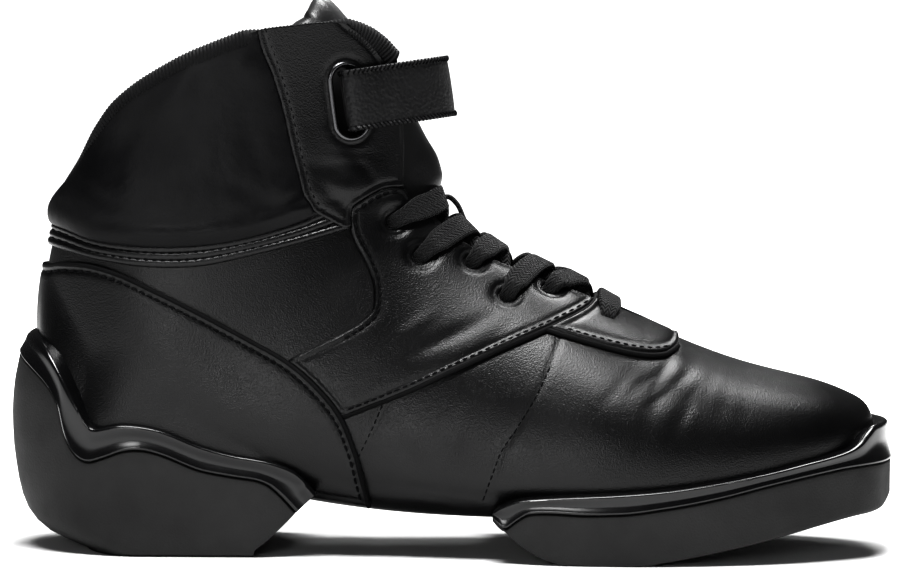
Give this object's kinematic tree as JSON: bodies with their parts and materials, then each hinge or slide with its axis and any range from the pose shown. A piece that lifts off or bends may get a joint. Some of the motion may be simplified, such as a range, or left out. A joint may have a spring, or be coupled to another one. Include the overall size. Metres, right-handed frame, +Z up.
{
  "type": "dance sneaker",
  "caption": "High-top dance sneaker with a split sole, padded collar, lace-up throat, padded tongue and an ankle strap through an oval ring.",
  "frame": {"origin": "on the floor, under the middle of the shoe's bounding box", "axes": "+X towards the toe, +Y towards the medial (big toe) side, +Z up"},
  "size_m": [0.2836, 0.1018, 0.1756],
  "materials": {
    "black_leather": "semi-gloss, pebbled",
    "black_smooth_padding": "soft matte",
    "black_ribbed_tape": "ribbed",
    "black_webbing": "woven",
    "dark_nickel": "dark polished",
    "black_matte_rubber": "matte",
    "black_gloss_rubber": "gloss",
    "grey_sock_lining": "knit"
  },
  "bodies": {
    "root": {"ankle_flap_lateral": "black_leather", "ankle_flap_medial": "black_leather", "collar_band": "black_leather", "collar_binding": "black_ribbed_tape", "collar_pad": "black_smooth_padding", "eyestay_lateral": "black_leather", "eyestay_medial": "black_leather", "forefoot_outsole": "black_matte_rubber", "forefoot_rand": "black_gloss_rubber", "heel_counter": "black_leather", "heel_outsole": "black_matte_rubber", "heel_rand": "black_gloss_rubber", "insole": "grey_sock_lining", "lace_1": "black_webbing", "lace_2": "black_webbing", "lace_3": "black_webbing", "lace_4": "black_webbing", "lace_5": "black_webbing", "lace_bar": "black_webbing", "strap": "black_webbing", "strap_ring": "dark_nickel", "throat_saddle": "black_leather", "tongue": "black_smooth_padding", "upper": "black_leather"}
  },
  "joints": []
}
